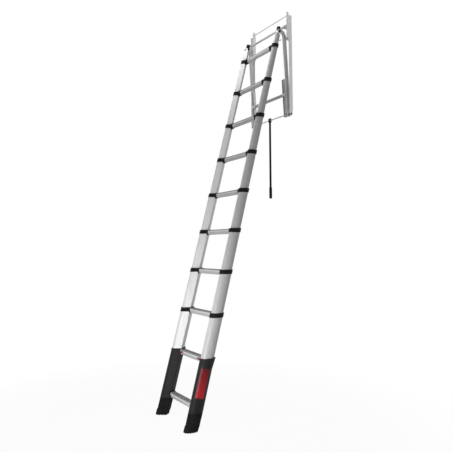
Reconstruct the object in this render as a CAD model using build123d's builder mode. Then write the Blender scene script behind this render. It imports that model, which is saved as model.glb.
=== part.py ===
"""Telescopic loft ladder with its wall frame, swing frame and pull rod.

Millimetres, +Z up, +X along the rungs to the right, +Y into the wall.
The origin is the centre of the screw holes of the wall rails, in the plane of the wall.
"""
import math
import os

from build123d import *

# Ladder layout
lean_deg = 75.4  # stiles from the floor
rung_pitch = 280.0
section_count = 9  # telescoping sections, the last one is the base
stile_spacing = 395.0  # between the two stile axes
hinge_out = 95.0  # hinge bolts in front of the wall
hinge_up = 233.0  # hinge bolts above the screw holes' centre
first_drop = 115.0  # hinge bolts to rung 1 along the stile
foot_drop = 137.0  # last rung to the sole along the stile

# Stile outline of the smallest section: two flats to an inner edge and a bulged outer side
inner_reach = 19.8
outer_reach = 17.6
bulge_radius = 34.0
flat_deg = 36.0
apex_round = 5.5
corner_round = 10.0
tube_wall = 1.3
section_step = 2.65  # growth of the outline from one section to the next
base_step = 1.75  # growth of the base over the section inside it
tube_overlap = 85.0  # tube left inside the next section when pulled out
slide_gap = 0.3
seat_gap = 0.1

# Collars and base covers
collar_half = 14.0
collar_wall = 3.2
lip_height = 5.0
socket_reach = 56.0  # from the stile axis towards the rung
socket_lip = 2.5
cover_wall = 1.2
cover_drop = 27.0  # lower end of the cover below the last rung
rim_growth = 5.0  # flare of the cover's top rim
rim_out = 2.0
rim_back = 4.0
rim_depth = 52.0
rim_start = 0.6  # start of the flare inside the cover's wall

# Rungs
rung_end_gap = 48.0  # stile axis to the end of the rung
tread_front = -11.0
tread_back = 31.0
facet_up = -4.0  # break of the front into its lower facet
belly_front = -6.0
belly_back = 5.0
rung_top = 12.0
rung_bottom = -23.0
rung_wall = 2.2
rib_pitch = 7.0
rib_groove = 2.4
rib_depth = 1.2
rib_count = 5
tread_round = 3.0
belly_round = 4.5

# Lock pins and release buttons
pin_radius = 4.5
pin_hole_radius = 4.8
pin_back = 8.0
pin_up = -4.0
pin_travel = 9.0
pin_length = 38.0
button_inboard = 80.0
button_length = 26.0
button_half_height = 7.0
button_thick = 4.2
button_round = 1.5
neck_slack = 1.0

# Top posts, caps and hook
post_radius = 13.0
post_wall = 2.0
post_shift = 0.7
post_rise = 38.0
post_depth = 60.0
sleeve_top = 17.0  # top of the wide sleeve below the hinge bolt
sleeve_shrink = 2.8
sleeve_wall = 2.0
cap_radius = 14.2
cap_bottom = 9.0
cap_top = 42.0
cap_round = 1.5
hook_radius = 2.4
hook_drop = 55.0
hook_reach = 38.0
hook_rise = 14.0
hook_inside = 2.0  # end of the wire beyond the post's inner wall

# Shoes
shoe_wall = 1.0
foot_rise = 30.0  # height of the wider foot
foot_step = 1.6  # step of the foot over the sleeve
foot_growth = 3.0
toe_out = 7.0  # lead of the toe over the sleeve
heel_back = 27.0  # flat of the sole behind the stile axis
heel_deg = 67.0
groove_width = 5.0
groove_depth = 3.0
tube_above_sole = 37.0

# Wall rails
rail_depth = 29.0
rail_flange = 16.0
rail_sheet = 2.5
rail_top = 366.0
rail_bottom = 352.0
rail_side = 20.5  # arm to the outer flange
screw_inset = 8.0
screw_z = 280.0
screw_radius = 3.2
brow_front = 45.0  # deeper stretch of the outer flange
brow_low = 194.0
brow_high = 300.0
brow_slope = 8.0
plate_inset = 1.75  # top plate from the arm's inner face
plate_front = 27.5
plate_back = 4.5
plate_low = 176.0
plate_top = 30.0  # top of the plate above the tie rod
rest_front = 33.5
rest_slope = 3.0
rest_high = 197.0
ear_reach = 35.0  # tip of the ear in front of the cross bar
ear_tip = 9.0
ear_low = 22.0  # ear below the cross bar
ear_brow = 7.0
ear_high = 23.0
notch_radius = 3.0
notch_pitch = 29.0
notch_up = 37.0
tab_along = 564.0  # arm rest from the pivot, along the arm
tab_length = 15.0
tie_radius = 4.0
tie_out = 18.0
tie_up = 374.0
bar_radius = 9.0
bar_out = 39.0
bar_up = 282.0
spigot_radius = 4.0

# Swing frame
pivot_out = 16.0
pivot_down = 383.0
pivot_radius = 5.0
pivot_lug = 11.0
arm_gap = 0.6  # end cap to arm
arm_sheet = 7.0
arm_width = 31.0
arm_eye = 15.5
arm_groove = 15.0
groove_start = 50.0
groove_length = 490.0
groove_sink = 2.0
shoulder_out = 51.0
shoulder_up = 195.0
crown_out = 66.0
crown_up = 226.0
hinge_radius = 5.0
turn_gap = 0.15
head_height = 4.5
head_round = 2.0
nut_height = 6.0
rivet_height = 3.0
shank_beyond = 1.0  # rivet and bolt shanks into their heads
channel_gap = 11.5  # channel to arm
channel_width = 21.5
channel_front = -20.0
channel_depth = 22.0
channel_sheet = 2.0
channel_length = 268.0
channel_foot = 14.0
cross_radius = 12.0
cross_rise = 152.0
cross_back = -9.0
pull_bar_radius = 5.0
pull_bar_back = -10.0
pull_bar_rise = 1.0

# Pull rod
rod_radius = 7.8
rod_length = 590.0
grip_radius = 10.8
grip_length = 85.0
grip_round = 2.5
clip_half = 8.5
clip_width = 18.0

lean = math.radians(lean_deg)
stile_x = stile_spacing / 2
stile_up = (0, math.cos(lean), math.sin(lean))
reach = 4 * (corner_round + section_step * section_count)
last_level = section_count + 1
arm_inner = stile_x + post_shift + cap_radius + arm_gap
rail_outer = arm_inner + arm_sheet + rail_side + rail_sheet
plate_inner = arm_inner + plate_inset
screw_x = rail_outer - screw_inset
channel_inner = arm_inner - channel_gap - channel_width
channel_mid = channel_inner + channel_width / 2
arm_angle = math.atan2(shoulder_out - pivot_out, shoulder_up + pivot_down)


def drop_of(level):
    """Distance of a rung below the hinge bolts, along the stile."""
    return first_drop + (level - 1) * rung_pitch


def axis_point(drop):
    """Height and depth of the stile axis at a distance below the hinge bolts."""
    return (-hinge_out - drop * math.cos(lean), hinge_up - drop * math.sin(lean))


def growth_of(section):
    """Outward growth of a section's outline over the smallest one."""
    if section == section_count:
        return growth_of(section - 1) + base_step
    return (section - 1) * section_step


def stile_plane(drop, across=0.0, back=0.0):
    """Plane square to the right stile."""
    depth, height = axis_point(drop)
    return Plane(origin=(stile_x + across, depth + back, height), x_dir=(1, 0, 0), z_dir=stile_up)


def level_plane(drop, rise):
    """Level plane at a height above a point of the stile axis."""
    depth, height = axis_point(drop)
    return Plane(origin=(0, depth, height + rise))


def rung_plane(level, across):
    """Upright plane across a rung, its x axis to the back and its y axis up."""
    depth, height = axis_point(drop_of(level))
    return Plane(origin=(across, depth, height), x_dir=(0, 1, 0), z_dir=(1, 0, 0))


def arm_plane(across=0.0, rise=0.0):
    """Plane square to the swing arm at the pivot, its y axis towards the wall."""
    along = (0, -math.sin(arm_angle), math.cos(arm_angle))
    start = (across, -pivot_out + rise * along[1], -pivot_down + rise * along[2])
    return Plane(origin=start, x_dir=(1, 0, 0), z_dir=along)


def stile_outline(plane, growth):
    """Closed stile outline with its sharp corners rounded."""
    flat = math.radians(flat_deg)
    apex_x = -(inner_reach + growth / math.cos(flat))
    radius = bulge_radius + growth
    offset_x = apex_x - (outer_reach - bulge_radius)
    along = math.sqrt(radius**2 - (offset_x * math.cos(flat)) ** 2) - offset_x * math.sin(flat)
    corner_x = apex_x + along * math.sin(flat)
    corner_y = along * math.cos(flat)
    with BuildSketch(plane) as outline:
        with BuildLine():
            Line((corner_x, -corner_y), (apex_x, 0))
            Line((apex_x, 0), (corner_x, corner_y))
            ThreePointArc((corner_x, corner_y), (outer_reach + growth, 0), (corner_x, -corner_y))
        make_face()
        fillet(outline.vertices().sort_by(Axis.X)[0], apex_round)
        fillet(outline.vertices().sort_by(Axis.Y)[0], corner_round + growth)
        fillet(outline.vertices().sort_by(Axis.Y)[-1], corner_round + growth)
    return outline.sketch


def rung_outline(plane, grow=0.0):
    """Rung section: level tread above, upright front with a lower facet, narrow belly below."""
    with BuildSketch(plane) as outline:
        with BuildLine():
            Polyline(
                (tread_front, rung_top),
                (tread_back, rung_top),
                (belly_back, rung_bottom),
                (belly_front, rung_bottom),
                (tread_front, facet_up),
                close=True,
            )
        make_face()
        fillet(outline.vertices().group_by(Axis.Y)[-1], tread_round)
        fillet(outline.vertices().sort_by(Axis.Y)[0:2], belly_round)
        if grow != 0.0:
            offset(amount=grow)
    return outline.sketch


def disc(plane, radius, x=0.0, y=0.0):
    """Round sketch on a plane."""
    with BuildSketch(plane) as face:
        with Locations((x, y)):
            Circle(radius)
    return face.sketch


def level_ring(drop, growth, bore, low_plane, high_plane):
    """Sleeve round the stile with level ends."""
    with BuildPart() as ring:
        extrude(stile_outline(stile_plane(drop), growth), amount=rung_pitch + reach, both=True)
        extrude(bore, amount=rung_pitch + reach, both=True, mode=Mode.SUBTRACT)
        split(bisect_by=high_plane, keep=Keep.BOTTOM)
        split(bisect_by=low_plane, keep=Keep.TOP)
    return ring.part


def rung_socket(level, growth, wall):
    """Cup at the stile that takes the rung end."""
    start = rung_plane(level, stile_x - socket_reach)
    with BuildPart() as socket:
        extrude(rung_outline(start, socket_lip), amount=socket_reach - outer_reach / 2)
        extrude(
            stile_outline(stile_plane(drop_of(level)), growth + wall / 2),
            amount=reach,
            both=True,
            mode=Mode.SUBTRACT,
        )
        extrude(
            rung_outline(start, seat_gap),
            amount=socket_reach - rung_end_gap + seat_gap,
            mode=Mode.SUBTRACT,
        )
    return socket.part.solids().sort_by(Axis.X)[0]


def flared(high_plane, high_growth, low_plane, low_growth):
    """Stile outline that widens from one plane to another."""
    high = stile_outline(high_plane, high_growth)
    low = stile_outline(low_plane, low_growth)
    with BuildPart() as body:
        loft(sections=[high.face(), low.face()], ruled=True)
    return body.part


def pin_tip(section):
    """Tip of a drawn-back lock pin, measured from the stile axis."""
    flat = math.radians(flat_deg)
    apex = inner_reach + growth_of(section - 1) / math.cos(flat)
    return apex - (pin_back * math.sin(lean) - pin_radius) * math.tan(flat) + 2 * slide_gap


def save(builder, name):
    """Label a finished piece and write its file."""
    builder.part.label = name
    export_step(builder.part, f"parts/{name}.step")


def save_pair(builder, name):
    """Write a right-hand piece and its mirrored left-hand twin."""
    save(builder, f"{name}_right")
    with BuildPart() as twin:
        mirror(builder.part, about=Plane.YZ)
    save(twin, f"{name}_left")


os.makedirs("parts", exist_ok=True)

# Stile tubes of all sections
for section in range(1, section_count + 1):
    growth = growth_of(section)
    top = drop_of(section)
    length = rung_pitch + tube_overlap
    if section == section_count:
        length = rung_pitch + foot_drop - tube_above_sole
    with BuildPart() as tube:
        extrude(stile_outline(stile_plane(top + length), growth), amount=length + reach)
        extrude(
            stile_outline(stile_plane(top + length), growth - tube_wall),
            amount=length + reach,
            mode=Mode.SUBTRACT,
        )
        split(bisect_by=level_plane(top, collar_half - lip_height - seat_gap), keep=Keep.BOTTOM)
        for level in (section, section + 1):
            if 1 < level <= section_count:
                pin_side = rung_plane(level, stile_x - socket_reach)
                extrude(
                    disc(pin_side, pin_hole_radius, pin_back, pin_up),
                    amount=socket_reach,
                    mode=Mode.SUBTRACT,
                )
    save_pair(tube, f"stile_{section}")

# Collars on the tops of all sections but the base, with their drawn-back lock pins
for section in range(1, section_count):
    growth = growth_of(section)
    top = drop_of(section)
    seat = level_plane(top, collar_half - lip_height)
    tube_bore = stile_outline(stile_plane(top), growth + seat_gap)
    lip_bore = stile_outline(stile_plane(top), growth - section_step + slide_gap)
    if section == 1:
        lip_bore = disc(stile_plane(top, post_shift), post_radius + seat_gap)
    band = level_ring(top, growth + collar_wall, tube_bore, level_plane(top, -collar_half), seat)
    lip = level_ring(top, growth + collar_wall, lip_bore, seat, level_plane(top, collar_half))
    with BuildPart() as collar:
        add(rung_socket(section, growth, collar_wall))
        add(band)
        add(lip)
        if section > 1:
            pin_side = rung_plane(section, stile_x - socket_reach)
            extrude(
                disc(pin_side, pin_hole_radius, pin_back, pin_up),
                amount=socket_reach,
                mode=Mode.SUBTRACT,
            )
            tail = rung_plane(section, stile_x - pin_tip(section) - pin_length)
            extrude(disc(tail, pin_radius, pin_back, pin_up), amount=pin_length)
        mirror(about=Plane.YZ)
    save(collar, f"collars_{section}")

# Rungs, alike but for the slots of the release buttons
for level in range(1, last_level + 1):
    half = stile_x - rung_end_gap
    end = rung_plane(level, -half)
    with BuildPart() as rung:
        extrude(rung_outline(end), amount=2 * half)
        extrude(rung_outline(end, -rung_wall), amount=2 * half, mode=Mode.SUBTRACT)
        with BuildSketch(end):
            with Locations(((tread_front + tread_back) / 2, rung_top)):
                with GridLocations(rib_pitch, 1, rib_count, 1):
                    Rectangle(rib_groove, 2 * rib_depth)
        extrude(amount=2 * half, mode=Mode.SUBTRACT)
        if level == section_count:
            slot_length = 2 * button_length / 3 + pin_travel + neck_slack
            slot_mid = stile_x - button_inboard + pin_travel / 2
            slot_depth, slot_height = axis_point(drop_of(level))
            slot_start = tread_front - socket_lip
            with BuildSketch(Plane.XZ.offset(-slot_depth - slot_start)):
                with Locations((slot_mid, slot_height + pin_up), (-slot_mid, slot_height + pin_up)):
                    Rectangle(slot_length, 2 * pin_radius - neck_slack)
            extrude(amount=slot_start - pin_back + pin_radius, mode=Mode.SUBTRACT)
    save(rung, f"rung_{level}")

# Base covers with the sockets of the two lowest rungs and a flared top rim
base_growth = growth_of(section_count)
base_top = drop_of(section_count)
last_drop = drop_of(last_level)
cover_low = level_plane(last_drop, -cover_drop)
cover_seat = level_plane(base_top, collar_half - lip_height)
cover_high = level_plane(base_top, collar_half)
base_bore = stile_outline(stile_plane(base_top), base_growth + seat_gap)
lip_bore = stile_outline(stile_plane(base_top), growth_of(section_count - 1) + slide_gap)
with BuildPart() as rim:
    add(
        flared(
            stile_plane(base_top - rim_depth, rim_out, rim_back),
            base_growth + cover_wall + rim_growth,
            stile_plane(base_top + rim_depth),
            base_growth + cover_wall - rim_start,
        )
    )
    extrude(base_bore, amount=2 * rim_depth, both=True, mode=Mode.SUBTRACT)
    split(bisect_by=cover_high, keep=Keep.BOTTOM)
with BuildPart() as cover:
    add(rung_socket(section_count, base_growth, cover_wall))
    add(rung_socket(last_level, base_growth, cover_wall))
    add(level_ring(base_top, base_growth + cover_wall, base_bore, cover_low, cover_seat))
    add(level_ring(base_top, base_growth + cover_wall, lip_bore, cover_seat, cover_high))
    add(rim.part)
    pin_side = rung_plane(section_count, stile_x - socket_reach)
    extrude(
        disc(pin_side, pin_hole_radius, pin_back, pin_up),
        amount=socket_reach,
        mode=Mode.SUBTRACT,
    )
save_pair(cover, "base_cover")

# Rubber shoes with a wider foot, a leading toe, a cut heel and a grooved sole
sole_drop = last_drop + foot_drop
sole = level_plane(sole_drop, 0)
sole_depth, sole_level = axis_point(sole_drop)
heel = math.radians(heel_deg)
with BuildPart() as foot:
    add(
        flared(
            stile_plane(sole_drop - 2 * foot_rise),
            base_growth + shoe_wall + foot_step,
            stile_plane(sole_drop + reach, 0.0, -toe_out),
            base_growth + shoe_wall + foot_growth,
        )
    )
    split(bisect_by=level_plane(sole_drop, foot_rise), keep=Keep.BOTTOM)
with BuildPart() as shoe:
    extrude(
        stile_outline(stile_plane(sole_drop), base_growth + shoe_wall),
        amount=foot_drop + reach,
        both=True,
    )
    split(bisect_by=level_plane(last_drop, -cover_drop - seat_gap), keep=Keep.BOTTOM)
    split(bisect_by=level_plane(sole_drop, foot_rise / 2), keep=Keep.TOP)
    add(foot.part)
    split(bisect_by=sole, keep=Keep.TOP)
    heel_plane = Plane(
        origin=(0, sole_depth + heel_back, sole_level),
        x_dir=(1, 0, 0),
        z_dir=(0, -math.sin(heel), math.cos(heel)),
    )
    split(bisect_by=heel_plane, keep=Keep.TOP)
    extrude(
        stile_outline(stile_plane(sole_drop - tube_above_sole + seat_gap), base_growth + seat_gap),
        amount=foot_drop + reach,
        mode=Mode.SUBTRACT,
    )
    with BuildSketch(Plane(origin=(stile_x, sole_depth, sole_level))):
        with GridLocations(1, 3 * groove_width, 1, 5):
            Rectangle(2 * reach, groove_width)
    extrude(amount=groove_depth, mode=Mode.SUBTRACT)
save_pair(shoe, "shoe")

# Lock pins of the base and the red release buttons that draw them back
tail_reach = button_inboard + button_length / 3
with BuildPart() as pin:
    tail = rung_plane(section_count, stile_x - tail_reach)
    extrude(disc(tail, pin_radius, pin_back, pin_up), amount=tail_reach - pin_tip(section_count))
save_pair(pin, "lock_pin")
with BuildPart() as button:
    button_start = rung_plane(section_count, stile_x - button_inboard - button_length / 2)
    with BuildSketch(button_start):
        with Locations((tread_front - slide_gap - button_thick / 2, pin_up)):
            RectangleRounded(button_thick, 2 * button_half_height, button_round)
    extrude(amount=button_length)
    neck_start = rung_plane(section_count, stile_x - button_inboard - button_length / 3)
    neck_front = tread_front - slide_gap - button_thick / 2
    neck_back = pin_back - pin_radius - seat_gap
    with BuildSketch(neck_start):
        with Locations(((neck_front + neck_back) / 2, pin_up)):
            Rectangle(neck_back - neck_front, 2 * pin_radius - 2 * neck_slack)
    extrude(amount=2 * button_length / 3)
save_pair(button, "release_button")

# Top posts with their wide sleeves, end caps and the wire hook of the right post
sleeve_bore = stile_outline(stile_plane(first_drop), -sleeve_shrink - sleeve_wall)
sleeve_foot = level_plane(first_drop, collar_half + seat_gap)
sleeve_end = stile_plane(sleeve_top)
sleeve = level_ring(first_drop, -sleeve_shrink, sleeve_bore, sleeve_foot, sleeve_end)
plate_bore = disc(stile_plane(first_drop, post_shift), post_radius - post_wall)
plate_under = stile_plane(sleeve_top + sleeve_wall)
sleeve_plate = level_ring(first_drop, -sleeve_shrink, plate_bore, plate_under, sleeve_end)
with BuildPart() as post:
    foot = stile_plane(first_drop + post_depth, post_shift)
    extrude(disc(foot, post_radius), amount=first_drop + post_depth + post_rise)
    extrude(
        disc(foot, post_radius - post_wall),
        amount=first_drop + post_depth + post_rise,
        mode=Mode.SUBTRACT,
    )
    add(sleeve)
    add(sleeve_plate)
    side = Plane(origin=(stile_x - reach, -hinge_out, hinge_up), x_dir=(0, 1, 0), z_dir=(1, 0, 0))
    extrude(disc(side, hinge_radius + turn_gap), amount=2 * reach, mode=Mode.SUBTRACT)
with BuildPart() as post_left:
    mirror(post.part, about=Plane.YZ)
save(post_left, "top_post_left")
hook_base = stile_plane(hook_drop, post_shift)
hook_face = Plane(origin=hook_base.origin, x_dir=hook_base.y_dir, z_dir=(1, 0, 0))
hook_start = post_radius - post_wall - hook_inside
with BuildPart() as post_right:
    add(post.part)
    hook_hole = Plane(origin=hook_base.origin, x_dir=(1, 0, 0), z_dir=hook_base.y_dir)
    extrude(disc(hook_hole, hook_radius + seat_gap), amount=2 * post_radius, mode=Mode.SUBTRACT)
save(post_right, "top_post_right")
with BuildPart() as hook:
    with BuildLine(hook_face) as wire:
        FilletPolyline((hook_start, 0), (hook_reach, 0), (hook_reach, hook_rise), radius=3 * hook_radius)
    with BuildSketch(Plane(origin=wire.line @ 0, z_dir=wire.line % 0)):
        Circle(hook_radius)
    sweep(path=wire.line)
save(hook, "wire_hook")
with BuildPart() as cap:
    extrude(disc(stile_plane(-cap_bottom, post_shift), cap_radius), amount=cap_top - cap_bottom)
    fillet(cap.edges().group_by(Axis.Z)[-1], cap_round)
    extrude(
        disc(stile_plane(-cap_bottom, post_shift), post_radius + seat_gap),
        amount=post_rise - cap_bottom + seat_gap,
        mode=Mode.SUBTRACT,
    )
    mirror(about=Plane.YZ)
save(cap, "end_caps")

# Wall rails bent from sheet: wall flange, outer flange with pivot lug, top plate with ear and rest
plate_round = (plate_front - plate_back) / 2
plate_head = tie_up + plate_top - plate_round
with BuildPart() as rail:
    with BuildSketch(Plane.XZ):
        with BuildLine():
            Polyline(
                (rail_outer, -rail_bottom),
                (rail_outer, rail_top),
                (plate_inner, rail_top),
                (plate_inner, plate_low),
                (rail_outer - rail_flange, plate_low - rail_flange),
                (rail_outer - rail_flange, -rail_bottom),
                close=True,
            )
        make_face()
    extrude(amount=rail_sheet)
    with BuildSketch(Plane.YZ.offset(rail_outer - rail_sheet)):
        with BuildLine():
            Polyline(
                (0, -rail_bottom),
                (0, rail_top),
                (-rail_depth, rail_top),
                (-rail_depth, brow_high + brow_slope),
                (-brow_front, brow_high),
                (-brow_front, brow_low),
                (-rail_depth, brow_low - brow_slope),
                (-rail_depth, 3 * pivot_lug - pivot_down),
                (-pivot_out - pivot_lug, -pivot_down),
                (-pivot_out + pivot_lug, -pivot_down),
                close=True,
            )
        make_face()
        with Locations((-pivot_out, -pivot_down)):
            Circle(pivot_lug)
    extrude(amount=rail_sheet)
    with BuildSketch(Plane.YZ.offset(plate_inner)):
        with BuildLine():
            Polyline(
                (0, plate_low),
                (-rest_front, plate_low + rest_slope),
                (-rest_front, rest_high),
                (-plate_front, rest_high + 2 * rest_slope),
                (-plate_front, bar_up - ear_low),
                (-bar_out - ear_reach + ear_tip, bar_up - ear_low),
                (-bar_out - ear_reach, bar_up - ear_low + ear_tip),
                (-bar_out - ear_brow, bar_up + ear_brow),
                (-plate_front, bar_up + ear_high),
                (-plate_front, plate_head),
                (-plate_back, plate_head),
                (-plate_back, rail_top),
                (0, rail_top),
                close=True,
            )
        make_face()
        with Locations((-plate_back - plate_round, plate_head)):
            Circle(plate_round)
        notch_low = bar_up + notch_up
        with Locations((-plate_front, notch_low), (-plate_front, notch_low + notch_pitch)):
            Circle(notch_radius, mode=Mode.SUBTRACT)
    extrude(amount=rail_sheet)
    with BuildSketch(Plane.YZ.offset(plate_inner)):
        with Locations((-tie_out, tie_up)):
            Circle(tie_radius + seat_gap)
        with Locations((-bar_out, bar_up)):
            Circle(spigot_radius + seat_gap)
    extrude(amount=rail_sheet, mode=Mode.SUBTRACT)
    with BuildSketch(Plane.YZ.offset(rail_outer - rail_sheet)):
        with Locations((-pivot_out, -pivot_down)):
            Circle(pivot_radius + seat_gap)
    extrude(amount=rail_sheet, mode=Mode.SUBTRACT)
    with BuildSketch(arm_plane(0, tab_along)):
        with Locations((arm_inner + arm_sheet / 2, arm_width / 2 + slide_gap + rail_sheet / 2)):
            Rectangle(arm_sheet, rail_sheet)
    extrude(amount=tab_length)
    with BuildSketch(Plane.XZ):
        with Locations((screw_x, screw_z), (screw_x, -screw_z), (screw_x, 0)):
            Circle(screw_radius)
    extrude(amount=rail_sheet, mode=Mode.SUBTRACT)
save_pair(rail, "wall_rail")

# Tie rod and cross bar between the top plates
plate_face = Plane.YZ.offset(-plate_inner - 2 * rail_sheet)
plate_span = 2 * (plate_inner + 2 * rail_sheet)
with BuildPart() as tie:
    extrude(disc(plate_face, tie_radius, -tie_out, tie_up), amount=plate_span)
save(tie, "tie_rod")
with BuildPart() as cross_bar:
    extrude(disc(plate_face, spigot_radius, -bar_out, bar_up), amount=plate_span)
    bar_start = Plane.YZ.offset(-plate_inner + seat_gap)
    extrude(disc(bar_start, bar_radius, -bar_out, bar_up), amount=2 * (plate_inner - seat_gap))
save(cross_bar, "cross_bar")

# Pivot rivets with their spacer shoulders, one at each rail
with BuildPart() as rivet:
    inner_head = Plane.YZ.offset(arm_inner - slide_gap - rivet_height)
    extrude(disc(inner_head, 1.8 * pivot_radius, -pivot_out, -pivot_down), amount=rivet_height)
    shank_length = rail_outer + seat_gap + shank_beyond - arm_inner + slide_gap + rivet_height
    extrude(disc(inner_head, pivot_radius, -pivot_out, -pivot_down), amount=shank_length)
    spacer = Plane.YZ.offset(arm_inner + arm_sheet + slide_gap)
    spacer_length = rail_side - slide_gap - seat_gap
    extrude(disc(spacer, 1.8 * pivot_radius, -pivot_out, -pivot_down), amount=spacer_length)
    head = Plane.YZ.offset(rail_outer + seat_gap)
    extrude(disc(head, 1.8 * pivot_radius, -pivot_out, -pivot_down), amount=rivet_height)
    fillet(rivet.edges().group_by(Axis.X)[-1], head_round)
    mirror(about=Plane.YZ)
save(rivet, "pivot_rivets")

# Swing arms: pressed bars with an arched top
with BuildPart() as arm:
    with BuildSketch(Plane.YZ.offset(arm_inner)):
        with BuildLine():
            Line((-pivot_out, -pivot_down), (-shoulder_out, shoulder_up))
            ThreePointArc((-shoulder_out, shoulder_up), (-crown_out, crown_up), (-hinge_out, hinge_up))
        trace(line_width=arm_width)
        with Locations((-pivot_out, -pivot_down), (-hinge_out, hinge_up)):
            Circle(arm_eye)
        with Locations((-pivot_out, -pivot_down)):
            Circle(pivot_radius + turn_gap, mode=Mode.SUBTRACT)
        with Locations((-hinge_out, hinge_up)):
            Circle(hinge_radius + seat_gap, mode=Mode.SUBTRACT)
    extrude(amount=arm_sheet)
    with BuildSketch(arm_plane(arm_inner + arm_sheet, groove_start)):
        Rectangle(2 * groove_sink, arm_groove)
    extrude(amount=groove_length, mode=Mode.SUBTRACT)
save_pair(arm, "swing_arm")

# Cross frame: two channels and the round cross tube welded to them
channel_centre = channel_front + channel_depth / 2
with BuildPart() as cross_frame:
    with BuildSketch(arm_plane(0, -channel_foot)):
        with Locations((channel_mid, channel_centre), (-channel_mid, channel_centre)):
            Rectangle(channel_width, channel_depth)
        hollow = channel_centre - channel_sheet
        with Locations((channel_mid, hollow), (-channel_mid, hollow)):
            Rectangle(channel_width - 2 * channel_sheet, channel_depth, mode=Mode.SUBTRACT)
    extrude(amount=channel_length + channel_foot)
    cross_end = arm_inner - seat_gap
    arm_base = arm_plane()
    cross_origin = arm_base.from_local_coords((-cross_end, cross_back, cross_rise))
    tube_face = Plane(origin=cross_origin, x_dir=arm_base.y_dir, z_dir=(1, 0, 0))
    extrude(disc(tube_face, cross_radius), amount=2 * cross_end)
    extrude(disc(tube_face, cross_radius - channel_sheet), amount=2 * cross_end, mode=Mode.SUBTRACT)
    pull_origin = arm_base.from_local_coords((-channel_mid * 2, pull_bar_back, pull_bar_rise))
    pull_face = Plane(origin=pull_origin, x_dir=arm_base.y_dir, z_dir=(1, 0, 0))
    extrude(disc(pull_face, pull_bar_radius + seat_gap), amount=4 * channel_mid, mode=Mode.SUBTRACT)
save(cross_frame, "cross_frame")
with BuildPart() as pull_bar:
    pull_end = channel_inner + channel_width
    pull_start = arm_base.from_local_coords((-pull_end, pull_bar_back, pull_bar_rise))
    pull_axis = Plane(origin=pull_start, x_dir=arm_base.y_dir, z_dir=(1, 0, 0))
    extrude(disc(pull_axis, pull_bar_radius), amount=2 * pull_end)
save(pull_bar, "pull_bar")

# Hinge bolts that carry the posts between the arms
with BuildPart() as bolt:
    post_inner = stile_x + post_shift - post_radius
    nut = Plane.YZ.offset(post_inner - slide_gap - nut_height)
    extrude(disc(nut, 1.6 * hinge_radius, -hinge_out, hinge_up), amount=nut_height)
    shank_length = nut_height + slide_gap + arm_inner + arm_sheet - post_inner + shank_beyond
    extrude(disc(nut, hinge_radius, -hinge_out, hinge_up), amount=shank_length)
    head = Plane.YZ.offset(arm_inner + arm_sheet + seat_gap)
    extrude(disc(head, 1.8 * hinge_radius, -hinge_out, hinge_up), amount=head_height)
    fillet(bolt.edges().group_by(Axis.X)[-1], head_round)
    mirror(about=Plane.YZ)
save(bolt, "hinge_bolts")

# Pull rod hanging from the pull bar, and its hand grip
pull_depth = pull_start.Y
pull_height = pull_start.Z
with BuildPart() as rod:
    clip_side = Plane(origin=(-clip_half, pull_depth, pull_height), x_dir=(0, 1, 0), z_dir=(1, 0, 0))
    with BuildSketch(clip_side):
        SlotCenterToCenter(2 * clip_half, clip_width, rotation=90)
    extrude(amount=2 * clip_half)
    extrude(disc(Plane(origin=(0, pull_depth, pull_height)), rod_radius), amount=-rod_length)
    extrude(disc(clip_side, pull_bar_radius + turn_gap), amount=2 * clip_half, mode=Mode.SUBTRACT)
save(rod, "pull_rod")
with BuildPart() as grip:
    grip_end = Plane(origin=(0, pull_depth, pull_height - rod_length - rod_radius))
    extrude(disc(grip_end, grip_radius), amount=grip_length)
    fillet(grip.edges().filter_by(GeomType.CIRCLE), grip_round)
    bore = Plane(origin=(0, pull_depth, pull_height - rod_length - seat_gap))
    extrude(disc(bore, rod_radius + seat_gap), amount=grip_length, mode=Mode.SUBTRACT)
save(grip, "rod_grip")
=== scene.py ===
"""Looks of the telescopic loft ladder: finishes for every CAD piece, the bare label and the studio."""

import logging
import math
from dataclasses import dataclass, field
from enum import Enum
from typing import Any, Iterable

import bpy
from mathutils import Matrix, Vector


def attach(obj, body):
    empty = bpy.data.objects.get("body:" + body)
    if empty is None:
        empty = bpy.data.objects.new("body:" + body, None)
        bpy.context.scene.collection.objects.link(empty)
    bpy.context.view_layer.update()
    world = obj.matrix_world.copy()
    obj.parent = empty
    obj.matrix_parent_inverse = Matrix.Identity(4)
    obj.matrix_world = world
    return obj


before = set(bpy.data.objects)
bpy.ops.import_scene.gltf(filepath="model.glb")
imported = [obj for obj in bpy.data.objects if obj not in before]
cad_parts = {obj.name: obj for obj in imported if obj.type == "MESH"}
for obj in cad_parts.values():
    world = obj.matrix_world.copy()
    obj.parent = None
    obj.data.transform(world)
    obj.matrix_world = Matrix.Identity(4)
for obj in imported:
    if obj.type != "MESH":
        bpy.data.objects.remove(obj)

LOG = logging.getLogger("ladder")
Colour = tuple[float, float, float]
Nodes = dict[str, bpy.types.Object]

LEAN = math.radians(75.4)
STILE_X = 0.1975
HINGE_Y = -0.095
HINGE_Z = 0.233
FIRST_DROP = 0.115
RUNG_PITCH = 0.280
FOOT_DROP = 0.137
SECTIONS = 9
NOISE_MIDDLE = 0.5
WHITE = (1.0, 1.0, 1.0)


def axis_point(drop: float) -> tuple[float, float]:
    """Find a point of the stile axis.

    Args:
        drop: distance below the hinge bolts along the stile, in metres.

    Returns:
        The depth and the height of the point.
    """
    return HINGE_Y - drop * math.cos(LEAN), HINGE_Z - drop * math.sin(LEAN)


def drop_of(level: int) -> float:
    """Distance of a rung below the hinge bolts."""
    return FIRST_DROP + (level - 1) * RUNG_PITCH


FLOOR_Z = axis_point(drop_of(SECTIONS + 1) + FOOT_DROP)[1]


class Side(Enum):
    """The two sides of the ladder."""

    LEFT = "left"
    RIGHT = "right"


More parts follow.
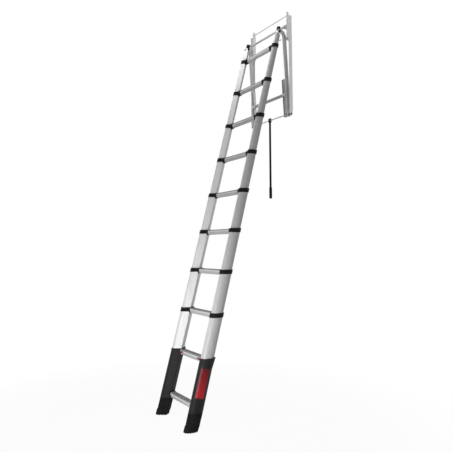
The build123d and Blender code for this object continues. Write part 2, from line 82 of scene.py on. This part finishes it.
class Run(Enum):
    """Direction in which an extrusion was drawn, as a turn about X and a scale of its lines."""

    STILE = (90.0 - math.degrees(LEAN), (420.0, 420.0, 5.0))
    RUNG = (0.0, (5.0, 420.0, 420.0))


class Sock:
    """An output socket whose arithmetic adds Math nodes to its graph."""

    def __init__(self, graph: "Graph", socket: bpy.types.NodeSocket) -> None:
        """Keep the graph and the socket."""
        self.graph = graph
        self.socket = socket

    def math(self, operation: str, first: Any, second: Any) -> "Sock":
        """Add one Math node.

        Args:
            operation: Blender's name of the operation.
            first: left operand.
            second: right operand.

        Returns:
            The result.
        """
        return self.graph.node("ShaderNodeMath", {"operation": operation}, {0: first, 1: second})

    def __add__(self, other: Any) -> "Sock":
        """Sum."""
        return self.math("ADD", self, other)

    def __radd__(self, other: Any) -> "Sock":
        """Reflected sum."""
        return self.math("ADD", other, self)

    def __sub__(self, other: Any) -> "Sock":
        """Difference."""
        return self.math("SUBTRACT", self, other)

    def __rsub__(self, other: Any) -> "Sock":
        """Reflected difference."""
        return self.math("SUBTRACT", other, self)

    def __mul__(self, other: Any) -> "Sock":
        """Product."""
        return self.math("MULTIPLY", self, other)

    def __rmul__(self, other: Any) -> "Sock":
        """Reflected product."""
        return self.math("MULTIPLY", other, self)

    def __mod__(self, other: Any) -> "Sock":
        """Remainder that is never negative."""
        return self.math("FLOORED_MODULO", self, other)

    def swing(self, share: float) -> "Sock":
        """Swing of a noise about its middle, times a share."""
        return (self - NOISE_MIDDLE) * share

    def span(self, low: float, high: float, start: float = 0.0, end: float = 1.0) -> "Sock":
        """Remap a range smoothly.

        Args:
            low: input that gives start.
            high: input that gives end.
            start: output at low.
            end: output at high.

        Returns:
            The remapped value.
        """
        settings = {"interpolation_type": "SMOOTHSTEP"}
        values = {"Value": self, "From Min": low, "From Max": high, "To Min": start, "To Max": end}
        return self.graph.node("ShaderNodeMapRange", settings, values)

    def out(self, name: str) -> "Sock":
        """Another output of the same node."""
        return Sock(self.graph, self.socket.node.outputs[name])


class Graph:
    """A node tree that grows node by node."""

    def __init__(self, owner: Any) -> None:
        """Empty the owner's node tree and keep it.

        Args:
            owner: the material or world.
        """
        owner.use_nodes = True
        self.owner = owner
        self.tree = owner.node_tree
        self.tree.nodes.clear()

    def feed(self, socket: bpy.types.NodeSocket, value: Any) -> None:
        """Set or link one input.

        Args:
            socket: the input.
            value: a socket to link, or a number, colour or vector to set.
        """
        if isinstance(value, Sock):
            self.tree.links.new(value.socket, socket)
        elif isinstance(value, tuple) and socket.type == "RGBA":
            socket.default_value = (*value[:3], 1.0)
        else:
            socket.default_value = value

    def node(
        self,
        kind: str,
        settings: dict[str, Any] | None = None,
        values: dict[Any, Any] | None = None,
        output: Any = 0,
    ) -> Sock:
        """Add a node.

        Args:
            kind: the node's type.
            settings: properties, which are set first.
            values: values or links of its inputs.
            output: name or number of the wanted output.

        Returns:
            The wanted output, or nothing to link for an output node.
        """
        made = self.tree.nodes.new(kind)
        for key, value in (settings or {}).items():
            setattr(made, key, value)
        for key, value in (values or {}).items():
            self.feed(made.inputs[key], value)
        return Sock(self, made.outputs[output] if len(made.outputs) else None)

    def place(self, turn_deg: float = 0.0, scale: Colour = (1.0, 1.0, 1.0)) -> Sock:
        """Object coordinates, turned about X and scaled.

        Args:
            turn_deg: turn about the X axis.
            scale: scale along the turned axes.

        Returns:
            The mapped coordinates.
        """
        here = self.node("ShaderNodeTexCoord", output="Object")
        values = {"Vector": here, "Rotation": (math.radians(turn_deg), 0.0, 0.0), "Scale": scale}
        return self.node("ShaderNodeMapping", {"vector_type": "POINT"}, values)

    def split(self, vector: Sock) -> tuple[Sock, Sock, Sock]:
        """The three parts of a vector."""
        parts = self.node("ShaderNodeSeparateXYZ", {}, {"Vector": vector})
        return parts, parts.out("Y"), parts.out("Z")

    def facing(self) -> tuple[Sock, Sock, Sock]:
        """The three parts of the surface normal, on the object's own axes."""
        return self.split(self.node("ShaderNodeTexCoord", output="Normal"))

    def level_rise(self) -> Sock:
        """Find the height above the nearest rung's axis.

        Returns:
            The height in metres, negative below the axis.
        """
        height = self.split(self.place())[2]
        step = RUNG_PITCH * math.sin(LEAN)
        first = axis_point(FIRST_DROP)[1]
        return (height - (first - step / 2)) % step - step / 2

    def noise(self, where: Sock, scale: float, detail: float = 3.0, rough: float = 0.55) -> Sock:
        """Fractal noise around one half.

        Args:
            where: coordinates.
            scale: cells per metre.
            detail: octaves.
            rough: weight of the fine octaves.

        Returns:
            The noise value.
        """
        values = {"Vector": where, "Scale": scale, "Detail": detail, "Roughness": rough}
        return self.node("ShaderNodeTexNoise", {}, values, "Fac")

    def mix(self, factor: Any, first: Any, second: Any) -> Sock:
        """Mix two colours.

        Args:
            factor: share of the second colour.
            first: colour at 0.
            second: colour at 1.

        Returns:
            The mixed colour.
        """
        settings = {"data_type": "RGBA", "blend_type": "MIX"}
        return self.node("ShaderNodeMix", settings, {0: factor, 6: first, 7: second}, 2)

    def bump(self, height: Sock, strength: float, distance: float) -> Sock:
        """Bump normal from a height."""
        values = {"Height": height, "Strength": strength, "Distance": distance}
        return self.node("ShaderNodeBump", {}, values)

    def surface(self, values: dict[str, Any]) -> bpy.types.Material:
        """Close a material with a principled shader.

        Args:
            values: values or links of the shader's inputs.

        Returns:
            The finished material.
        """
        shader = self.node("ShaderNodeBsdfPrincipled", {}, values)
        self.node("ShaderNodeOutputMaterial", {}, {"Surface": shader})
        return self.owner


@dataclass(frozen=True)
class DrawnAluminium:
    """Satin anodised tube: pale inner flats, painted shade on the outer bulge, drawing lines and slide
    marks.
    """

    name: str
    run: Run = Run.STILE
    pale: Colour = (0.84, 0.845, 0.85)
    dull: Colour = (0.66, 0.67, 0.685)
    # painted shade: the colour the outward-facing bulge turns towards
    outer: Colour = (0.52, 0.525, 0.535)
    soil: Colour = (0.50, 0.50, 0.51)
    roughness: float = 0.46
    metallic: float = 0.08
    line_share: float = 0.9
    cloud_share: float = 0.35
    rub_share: float = 0.25
    base_tone: float = 0.26
    rub_width: float = 0.12
    mark_start: float = 0.014
    mark_full: float = 0.022
    mark_fade: float = 0.030
    mark_end: float = 0.060
    mark_share: float = 0.55
    outer_shade_share: float = 0.9
    relief: float = 0.16

    def make(self) -> bpy.types.Material:
        """Build the material.

        Returns:
            The material.
        """
        graph = Graph(bpy.data.materials.new(self.name))
        turn, scale = self.run.value
        lines = graph.noise(graph.place(turn, scale), 1.0, detail=4.0, rough=0.6)
        wide = tuple(part * self.rub_width for part in scale)
        rubs = graph.noise(graph.place(turn, wide), 1.0, detail=2.0, rough=0.5).span(0.52, 0.78)
        cloud = graph.noise(graph.place(), 9.0)
        drawn = lines.swing(self.line_share) + cloud.swing(self.cloud_share)
        tone = drawn + rubs * self.rub_share + self.base_tone
        rise = graph.level_rise()
        below = rise.span(self.mark_fade, self.mark_end, 1.0, 0.0)
        slid = rise.span(self.mark_start, self.mark_full) * below * rubs
        across = graph.split(graph.place())[0] * (1.0 / STILE_X)
        # painted shade: faces pointing away from the ladder's middle mix towards the outer colour
        outboard_painted_shade = (across * graph.facing()[0]).span(-0.3, 0.5)
        clean = graph.mix(tone.span(0.0, 1.0), self.pale, self.dull)
        clean_with_outer_shade = graph.mix(outboard_painted_shade * self.outer_shade_share, clean, self.outer)
        return graph.surface(
            {
                "Base Color": graph.mix(slid * self.mark_share, clean_with_outer_shade, self.soil),
                "Metallic": self.metallic,
                "Roughness": self.roughness + lines.swing(0.16) + rubs * 0.05,
                "Normal": graph.bump(lines, self.relief, 0.0004),
            }
        )


@dataclass(frozen=True)
class RibbedTread:
    """Rung extrusion: satin front; painted shade darkens the belly, the lower front facet and the tread
    tops, a painted dark reflection laps over the front's upper edge, and the tops carry lighter scuffs.
    """

    name: str
    front: Colour = (0.81, 0.815, 0.82)
    # painted shade for the underside, also the darker tone of the drawing streaks
    underside_shade_and_streak: Colour = (0.44, 0.445, 0.45)
    # painted shade: the tone of the tread tops and of the dark lip
    tread: Colour = (0.26, 0.26, 0.265)
    worn: Colour = (0.46, 0.46, 0.465)
    dark_lip_rise: float = 0.0045
    dark_lip_edge: float = 0.0015
    facet_low: float = -0.010
    facet_high: float = -0.006
    facet_shade_share: float = 0.8
    scuff_scale: Colour = (14.0, 90.0, 90.0)
    scuff_share: float = 0.7
    streak_share: float = 0.6
    streak_tone: float = 0.3
    roughness: float = 0.45
    metallic: float = 0.08
    relief: float = 0.10

    def make(self) -> bpy.types.Material:
        """Build the material.

        Returns:
            The material.
        """
        graph = Graph(bpy.data.materials.new(self.name))
        turn, scale = Run.RUNG.value
        lines = graph.noise(graph.place(turn, scale), 1.0, detail=4.0, rough=0.6)
        scuff = graph.noise(graph.place(0.0, self.scuff_scale), 1.0, detail=4.0, rough=0.6).span(0.5, 0.75)
        _, ahead, upward = graph.facing()
        rise = graph.level_rise()
        # painted shade on upward faces and a painted dark reflection on the front's upper lip
        top = upward.span(0.35, 0.75)
        painted_lip_reflection = ahead.span(-0.6, -0.3, 1.0, 0.0) * rise.span(self.dark_lip_rise, self.dark_lip_rise + self.dark_lip_edge)
        dark = top.math("MAXIMUM", top, painted_lip_reflection)
        # painted shade: down-facing faces and the lower front facet turn towards the belly colour
        painted_underside = upward.span(-0.35, -0.05, 1.0, 0.0)
        low = rise.span(self.facet_low, self.facet_high, 1.0, 0.0)
        shade = painted_underside.math("MAXIMUM", painted_underside, low * self.facet_shade_share)
        metal = graph.mix(shade, self.front, self.underside_shade_and_streak)
        streak = graph.mix(lines.swing(self.streak_share) + self.streak_tone, metal, self.underside_shade_and_streak)
        tread_shade_and_scuffs = graph.mix(scuff * self.scuff_share, self.tread, self.worn)
        return graph.surface(
            {
                "Base Color": graph.mix(dark, streak, tread_shade_and_scuffs),
                "Metallic": self.metallic,
                "Roughness": self.roughness + lines.swing(0.16) + dark * 0.16 + scuff * 0.05,
                "Normal": graph.bump(lines + scuff * 0.3, self.relief, 0.0004),
            }
        )


@dataclass(frozen=True)
class PowderCoat:
    """Powder-coated steel with orange peel and a soft drift of tone, darker on a tube at its middle."""

    name: str
    colour: Colour
    shade: Colour
    metallic: float
    roughness: float = 0.42
    tube: Colour = (0.30, 0.305, 0.31)
    tube_half: float = 0.0
    tube_share: float = 0.9
    peel_scale: float = 900.0
    chip_scale: float = 160.0
    chip_share: float = 0.35
    relief: float = 0.12

    def make(self) -> bpy.types.Material:
        """Build the material.

        Returns:
            The material.
        """
        graph = Graph(bpy.data.materials.new(self.name))
        here = graph.place()
        peel = graph.noise(here, self.peel_scale, detail=2.0)
        cloud = graph.noise(here, 14.0, detail=4.0)
        chips = graph.noise(here, self.chip_scale, detail=5.0, rough=0.65).span(0.66, 0.72)
        tone = graph.mix(cloud.span(0.35, 0.7), self.colour, self.shade)
        worn = graph.mix(chips * self.chip_share, tone, self.shade)
        if self.tube_half > 0.0:
            across = graph.split(here)[0]
            reach = self.tube_half * self.tube_half
            middle = (across * across).span(reach * 0.99, reach, 1.0, 0.0)
            worn = graph.mix(middle * (self.tube_share + chips * 0.1), worn, self.tube)
        return graph.surface(
            {
                "Base Color": worn,
                "Metallic": self.metallic,
                "Roughness": self.roughness + peel.swing(0.2) + chips * 0.1,
                "Normal": graph.bump(peel, self.relief, 0.0006),
            }
        )


@dataclass(frozen=True)
class MouldedPlastic:
    """Moulded plastic or rubber with a fine spark-eroded grain and a little dust."""

    name: str
    colour: Colour
    shade: Colour
    roughness: float = 0.5
    grain: float = 1400.0
    depth: float = 0.25
    gloss: float = 0.5
    floor_dust: float = 0.0
    dust_height: float = 0.03
    cloud_share: float = 0.7
    dust_share: float = 0.3

    def make(self) -> bpy.types.Material:
        """Build the material.

        Returns:
            The material.
        """
        graph = Graph(bpy.data.materials.new(self.name))
        here = graph.place()
        grain = graph.noise(here, self.grain, detail=2.0, rough=0.6)
        cloud = graph.noise(here, 22.0, detail=4.0)
        dust = graph.noise(here, 60.0, detail=5.0).span(0.55, 0.8)
        tone = cloud.span(0.3, 0.75) * self.cloud_share + dust * self.dust_share
        if self.floor_dust > 0.0:
            height = graph.split(here)[2] - FLOOR_Z
            tone = tone + height.span(0.0, self.dust_height, self.floor_dust, 0.0) * dust
        return graph.surface(
            {
                "Base Color": graph.mix(tone, self.colour, self.shade),
                "Roughness": self.roughness + grain.swing(0.25) + dust * 0.08,
                "Specular IOR Level": self.gloss,
                "Normal": graph.bump(grain, self.depth, 0.0005),
            }
        )


@dataclass(frozen=True)
class ZincPlate:
    """Zinc-plated steel with its faint spangle."""

    name: str
    colour: Colour = (0.62, 0.63, 0.64)
    shade: Colour = (0.48, 0.49, 0.51)
    metallic: float = 0.55
    roughness: float = 0.34
    spangle_scale: float = 260.0
    spangle_share: float = 0.5
    relief: float = 0.08

    def make(self) -> bpy.types.Material:
        """Build the material.

        Returns:
            The material.
        """
        graph = Graph(bpy.data.materials.new(self.name))
        here = graph.place()
        cells = {"Vector": here, "Scale": self.spangle_scale}
        spangle = graph.node("ShaderNodeTexVoronoi", {}, cells, "Color")
        grey = graph.node("ShaderNodeRGBToBW", {}, {"Color": spangle})
        haze = graph.noise(here, 40.0, detail=4.0)
        tone = grey * self.spangle_share + haze * (1.0 - self.spangle_share)
        return graph.surface(
            {
                "Base Color": graph.mix(tone, self.colour, self.shade),
                "Metallic": self.metallic,
                "Roughness": self.roughness + haze.swing(0.2),
                "Normal": graph.bump(haze, self.relief, 0.0005),
            }
        )


@dataclass(frozen=True)
class LabelFilm:
    """Bare film in plain red that deepens towards its upper end."""

    name: str
    bright: Colour = (0.48, 0.014, 0.024)
    deep: Colour = (0.13, 0.004, 0.006)
    gloss: float = 0.2
    fade: float = 0.17
    fade_share: float = 0.8
    cloud_share: float = 0.2
    roughness: float = 0.36
    coat: float = 0.12
    relief: float = 0.02

    def make(self) -> bpy.types.Material:
        """Build the material.

        Returns:
            The material.
        """
        graph = Graph(bpy.data.materials.new(self.name))
        here = graph.place()
        cloud = graph.noise(here, 30.0)
        fleck = graph.noise(here, 700.0, detail=2.0)
        upper = graph.split(here)[2] - axis_point(drop_of(SECTIONS) + BaseSection.label_top)[1]
        depth = upper.span(-self.fade, 0.0) * self.fade_share + cloud.span(0.3, 0.75) * self.cloud_share
        return graph.surface(
            {
                "Base Color": graph.mix(depth, self.bright, self.deep),
                "Roughness": self.roughness + fleck.swing(0.15),
                "Specular IOR Level": self.gloss,
                "Coat Weight": cloud * self.coat,
                "Normal": graph.bump(fleck, self.relief, 0.0003),
            }
        )


class Finishes:
    """All finishes of the ladder, each made once."""

    def __init__(self) -> None:
        """Make the materials."""
        self.stile = DrawnAluminium("stile_aluminium").make()
        # the top posts get a lighter painted outer shade
        self.post = DrawnAluminium("post_aluminium", outer=(0.62, 0.625, 0.635)).make()
        dark, darker = (0.016, 0.016, 0.0165), (0.010, 0.010, 0.0105)
        # the third colour is the painted outer shade of the black base tube
        self.base_tube = DrawnAluminium("black_anodised", Run.STILE, dark, darker, darker, dark, 0.5).make()
        self.rung = RibbedTread("rung_aluminium").make()
        self.rail = PowderCoat("rail_coat", (0.79, 0.795, 0.80), (0.71, 0.715, 0.72), 0.48).make()
        self.arm = PowderCoat("arm_coat", (0.62, 0.625, 0.63), (0.54, 0.545, 0.55), 0.34).make()
        self.frame = PowderCoat(
            "frame_coat", (0.66, 0.665, 0.67), (0.58, 0.585, 0.59), 0.52, tube_half=0.176
        ).make()
        black = (0.005, 0.005, 0.0055)
        self.black = MouldedPlastic("black_plastic", black, (0.010, 0.010, 0.0105), gloss=0.10).make()
        cover = (0.009, 0.009, 0.0095)
        self.cover = MouldedPlastic("cover_plastic", cover, (0.018, 0.018, 0.019), 0.55, gloss=0.16).make()
        rubber = (0.006, 0.006, 0.0065)
        self.rubber = MouldedPlastic(
            "shoe_rubber", rubber, (0.016, 0.0157, 0.0153), 0.75, 900.0, 0.4, 0.10, 1.2
        ).make()
        red = (0.34, 0.016, 0.020)
        self.red = MouldedPlastic("red_plastic", red, (0.26, 0.012, 0.015), 0.35, 1200.0, 0.08).make()
        self.zinc = ZincPlate("zinc_plate").make()
        self.wire = ZincPlate("dark_wire", (0.20, 0.20, 0.205), (0.13, 0.13, 0.135), 0.2).make()
        self.label = LabelFilm("label_film").make()
        self.border = LabelFilm("label_border", (0.06, 0.004, 0.005), (0.03, 0.003, 0.004)).make()


def dress(nodes: Nodes, names: Iterable[str], finish: bpy.types.Material) -> None:
    """Give CAD nodes a finish.

    Args:
        nodes: all CAD nodes by name.
        names: the nodes to dress.
        finish: the material.
    """
    for name in names:
        mesh = nodes[name].data
        mesh.materials.clear()
        mesh.materials.append(finish)
        LOG.info("dressed %s in %s", name, finish.name)


@dataclass
class WallFrame:
    """Rails, tie rod, cross bar and rivets on the wall."""

    nodes: Nodes
    finishes: Finishes

    def build(self) -> None:
        """Dress the frame."""
        dress(self.nodes, ("wall_rail_left", "wall_rail_right"), self.finishes.rail)
        dress(self.nodes, ("cross_bar",), self.finishes.arm)
        dress(self.nodes, ("tie_rod",), self.finishes.zinc)
        dress(self.nodes, ("pivot_rivets",), self.finishes.wire)


@dataclass
class SwingFrame:
    """Arms, cross frame, pull bar, bolts and pull rod."""

    nodes: Nodes
    finishes: Finishes

    def build(self) -> None:
        """Dress the frame."""
        dress(self.nodes, ("swing_arm_left", "swing_arm_right"), self.finishes.arm)
        dress(self.nodes, ("cross_frame",), self.finishes.frame)
        dress(self.nodes, ("pull_bar",), self.finishes.zinc)
        dress(self.nodes, ("pull_rod", "rod_grip", "hinge_bolts"), self.finishes.black)


@dataclass
class Telescope:
    """Tubes, collars, rungs, posts and caps of the sliding sections."""

    nodes: Nodes
    finishes: Finishes
    sections: int = SECTIONS

    def build(self) -> None:
        """Dress the sections."""
        sides = [side.value for side in Side]
        tubes = [f"stile_{n}_{side}" for n in range(1, self.sections) for side in sides]
        dress(self.nodes, tubes, self.finishes.stile)
        dress(self.nodes, [f"top_post_{side}" for side in sides], self.finishes.post)
        dress(self.nodes, [f"collars_{n}" for n in range(1, self.sections)], self.finishes.black)
        dress(self.nodes, [f"rung_{n}" for n in range(1, self.sections + 2)], self.finishes.rung)
        dress(self.nodes, ("end_caps",), self.finishes.black)
        dress(self.nodes, ("wire_hook",), self.finishes.wire)


@dataclass
class BaseSection:
    """Tubes, covers, shoes, release buttons and the bare label of the base."""

    nodes: Nodes
    finishes: Finishes
    label_top: float = 0.046
    label_length: float = 0.182
    label_width: float = 0.062
    label_border: float = 0.006
    label_gap: float = 0.0003
    label_film: float = 0.0003
    label_turn: float = 20.0
    label_start: float = 0.12
    label_cuts: int = 23
    label_smooth: float = 40.0

    def build(self) -> None:
        """Dress the base and stick the label on."""
        for side in Side:
            dress(self.nodes, (f"stile_{SECTIONS}_{side.value}",), self.finishes.base_tube)
            dress(self.nodes, (f"base_cover_{side.value}",), self.finishes.cover)
            dress(self.nodes, (f"shoe_{side.value}",), self.finishes.rubber)
            dress(self.nodes, (f"release_button_{side.value}",), self.finishes.red)
            dress(self.nodes, (f"lock_pin_{side.value}",), self.finishes.zinc)
        self.label()

    def label(self) -> None:
        """Lay a bare film on the outer front of the right cover."""
        drop = drop_of(SECTIONS) + self.label_top + self.label_length / 2
        depth, height = axis_point(drop)
        along = Vector((0.0, math.cos(LEAN), math.sin(LEAN)))
        turn = math.radians(self.label_turn)
        away = Vector((math.cos(turn), -math.sin(turn), 0.0))
        away = (away - along * away.dot(along)).normalized()
        across = along.cross(away)
        facing = Matrix((across, along, away)).transposed().to_euler()
        start = Vector((STILE_X, depth, height)) + away * self.label_start
        bpy.ops.object.select_all(action="DESELECT")
        bpy.ops.mesh.primitive_plane_add(size=1.0, location=start, rotation=facing)
        film = bpy.context.object
        film.name = "label"
        bpy.ops.object.mode_set(mode="EDIT")
        bpy.ops.mesh.select_all(action="SELECT")
        size = (self.label_width, self.label_length, 1.0)
        bpy.ops.transform.resize(value=size, orient_type="LOCAL", center_override=start)
        bpy.ops.mesh.inset(thickness=self.label_border)
        bpy.ops.mesh.select_all(action="SELECT")
        bpy.ops.mesh.subdivide(number_cuts=self.label_cuts)
        bpy.ops.object.mode_set(mode="OBJECT")
        film.data.materials.append(self.finishes.label)
        film.data.materials.append(self.finishes.border)
        inner_x = self.label_width / 2 - self.label_border
        inner_y = self.label_length / 2 - self.label_border
        for face in film.data.polygons:
            middle = face.center
            face.material_index = int(abs(middle.x) > inner_x or abs(middle.y) > inner_y)
        wrap = film.modifiers.new("wrap", "SHRINKWRAP")
        wrap.target = self.nodes["base_cover_right"]
        wrap.wrap_method = "PROJECT"
        wrap.use_project_z = True
        wrap.use_negative_direction = True
        wrap.use_positive_direction = False
        wrap.offset = self.label_gap
        bpy.ops.object.modifier_apply(modifier="wrap")
        thick = film.modifiers.new("thick", "SOLIDIFY")
        thick.thickness = self.label_film
        thick.offset = 1.0
        bpy.ops.object.modifier_apply(modifier="thick")
        bpy.ops.object.transform_apply(location=True, rotation=True, scale=True)
        bpy.ops.object.shade_smooth_by_angle(angle=math.radians(self.label_smooth))
        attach(film, "section_9")
        LOG.info("laid the label")


@dataclass
class Studio:
    """Pale floor, soft light and the camera of the photograph."""

    ambient: float = 0.18
    glow: float = 0.95
    floor_size: float = 60.0
    floor_gap: float = 0.0005
    floor_grey: Colour = (0.86, 0.86, 0.86)
    fade_near: float = 0.5
    fade_far: float = 4.0
    eye: Colour = (3.0156, -2.3095, -1.3589)
    azimuth: float = 57.96
    tilt: float = 6.568
    sensor: float = 36.0
    lens: float = 40.17
    shift: float = -0.0770
    reach: float = 100.0
    lamps: list[tuple[str, Colour, Colour, float, float, float]] = field(
        default_factory=lambda: [
            ("front", (0.9, -2.4, -1.9), (0.0, -0.65, -1.9), 1.6, 20.0, 180.0),
            ("low", (1.0, -2.2, -2.3), (0.0, -0.75, -2.1), 1.2, 3.2, 60.0),
            ("top", (0.1, -0.5, 0.85), (0.0, -0.15, 0.05), 0.5, 2.1, 80.0),
            ("back", (-2.2, 2.6, -0.6), (0.0, -0.45, -1.2), 2.4, 30.0, 180.0),
        ]
    )

    def seen(self, graph: Graph) -> Sock:
        """One where the camera sees a surface, straight or in a mirror or glass.

        Args:
            graph: the tree that needs it.

        Returns:
            The mask.
        """
        ray = graph.node("ShaderNodeLightPath", output="Is Camera Ray")
        both = ray + ray.out("Is Glossy Ray") + ray.out("Is Transmission Ray")
        return both.math("MINIMUM", both, 1.0)

    def floor(self) -> None:
        """Lay a pale floor that keeps the shadow and fades to white far out."""
        bpy.ops.object.select_all(action="DESELECT")
        low = (0.0, 0.0, FLOOR_Z - self.floor_gap)
        bpy.ops.mesh.primitive_plane_add(size=self.floor_size, location=low)
        plane = bpy.context.object
        plane.name = "floor"
        graph = Graph(bpy.data.materials.new("floor_white"))
        across, depth, _ = graph.split(graph.place())
        centre = axis_point(drop_of(SECTIONS + 1))[0]
        back = depth - centre
        away = across * across + back * back
        share = away.span(self.fade_near, self.fade_far, self.glow, 1.0)
        matt = graph.node("ShaderNodeBsdfDiffuse", {}, {"Color": self.floor_grey})
        white = graph.node("ShaderNodeEmission", {}, {"Color": WHITE, "Strength": 1.0})
        values = {0: self.seen(graph) * share, 1: matt, 2: white}
        blend = graph.node("ShaderNodeMixShader", {}, values)
        graph.node("ShaderNodeOutputMaterial", {}, {"Surface": blend})
        plane.data.materials.append(graph.owner)

    def sky(self) -> None:
        """White background for the camera and a soft dome for the rest."""
        world = bpy.data.worlds.new("studio")
        bpy.context.scene.world = world
        graph = Graph(world)
        strength = self.seen(graph) * (1.0 - self.ambient) + self.ambient
        back = graph.node("ShaderNodeBackground", {}, {"Color": WHITE, "Strength": strength})
        graph.node("ShaderNodeOutputWorld", {}, {"Surface": back})

    def light(self) -> None:
        """Hang the soft boxes."""
        for name, place, aim, size, power, spread in self.lamps:
            lamp = bpy.data.lights.new(name, "AREA")
            lamp.size = size
            lamp.energy = power
            lamp.spread = math.radians(spread)
            holder = bpy.data.objects.new(name, lamp)
            bpy.context.scene.collection.objects.link(holder)
            holder.location = place
            holder.rotation_euler = (Vector(aim) - Vector(place)).to_track_quat("-Z", "Y").to_euler()

    def camera(self) -> None:
        """Stand the camera where the photograph was taken."""
        eye = bpy.data.cameras.new("camera")
        eye.sensor_width = self.sensor
        eye.lens = self.lens
        eye.shift_y = self.shift
        eye.clip_end = self.reach
        holder = bpy.data.objects.new("camera", eye)
        bpy.context.scene.collection.objects.link(holder)
        holder.location = self.eye
        holder.rotation_euler = (math.radians(90.0 + self.tilt), 0.0, math.radians(self.azimuth))
        bpy.context.scene.camera = holder

    def build(self) -> None:
        """Set up the whole studio."""
        self.floor()
        self.sky()
        self.light()
        self.camera()
        bpy.context.scene.view_settings.view_transform = "Standard"


def main() -> None:
    """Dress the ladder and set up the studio."""
    logging.basicConfig(level=logging.INFO)
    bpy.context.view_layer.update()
    finishes = Finishes()
    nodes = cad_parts
    for assembly in (WallFrame, SwingFrame, Telescope, BaseSection):
        assembly(nodes, finishes).build()
        LOG.info("built %s", assembly.__name__)
    Studio().build()


if __name__ == "__main__":
    main()
